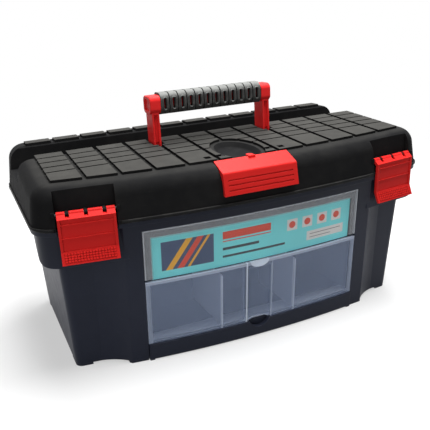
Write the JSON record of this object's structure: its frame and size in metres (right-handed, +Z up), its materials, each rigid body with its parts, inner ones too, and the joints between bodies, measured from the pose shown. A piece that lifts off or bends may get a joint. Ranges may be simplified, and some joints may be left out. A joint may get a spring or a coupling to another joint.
{
  "type": "plastic tool box",
  "caption": "Long moulded tool box with a tiled hinged lid, folding padded handle, snap latches, a label window and a clear bow-front parts drawer.",
  "frame": {"origin": "bottom centre of the box, on the table", "axes": "+X along the length to the right, -Y to the front (drawer and latches), +Z up"},
  "size_m": [0.455, 0.26, 0.267],
  "materials": {
    "base_black": "fine moulded grain",
    "lid_charcoal": "satin moulded grain",
    "red_plastic": "satin moulded",
    "grip_grey": "soft matte",
    "clear_frosted": "frosted clear",
    "card_teal": "printed card",
    "pin_steel": "bright wire",
    "tray_red": "moulded"
  },
  "bodies": {
    "base": {"base_shell": "base_black", "front_plinth": "base_black", "label_window": "clear_frosted", "label_card": "card_teal", "tote_tray": "tray_red", "tray_handle": "tray_red", "hinge_pin_left": "pin_steel", "hinge_pin_right": "pin_steel"},
    "lid": {"lid_shell": "lid_charcoal", "latch_pin_left": "pin_steel", "latch_pin_right": "pin_steel", "centre_latch_pin": "pin_steel", "handle_pivot_left": "pin_steel", "handle_pivot_right": "pin_steel"},
    "drawer": {"drawer_bin": "clear_frosted", "drawer_divider_left": "clear_frosted", "drawer_divider_right": "clear_frosted"},
    "left_latch": {"side_latch_left": "red_plastic"},
    "right_latch": {"side_latch_right": "red_plastic"},
    "front_latch": {"centre_latch": "red_plastic"},
    "handle": {"handle_arm_left": "red_plastic", "handle_arm_right": "red_plastic", "handle_core": "red_plastic", "grip_sleeve": "grip_grey"}
  },
  "joints": [
    {"name": "lid_hinge", "type": "hinge", "parent": "base", "child": "lid", "pos_m": [0, 0.1243, 0.1608], "axis": [-1, 0, 0], "range_deg": [0, 105]},
    {"name": "drawer_slide", "type": "slide", "parent": "base", "child": "drawer", "axis": [0, -1, 0], "range_m": [0, 0.058]},
    {"name": "handle_fold", "type": "hinge", "parent": "lid", "child": "handle", "pos_m": [0, -0.005, 0.201], "axis": [-1, 0, 0], "range_deg": [0, 90]},
    {"name": "left_latch_swing", "type": "hinge", "parent": "lid", "child": "left_latch", "pos_m": [-0.17711, -0.10826, 0.1779], "axis": [-0.9888, 0.1495, 0], "range_deg": [0, 95]},
    {"name": "right_latch_swing", "type": "hinge", "parent": "lid", "child": "right_latch", "pos_m": [0.17711, -0.10826, 0.1779], "axis": [-0.9888, -0.1495, 0], "range_deg": [0, 95]},
    {"name": "front_latch_swing", "type": "hinge", "parent": "lid", "child": "front_latch", "pos_m": [0, -0.1092, 0.1996], "axis": [-1, 0, 0], "range_deg": [0, 45]}
  ]
}
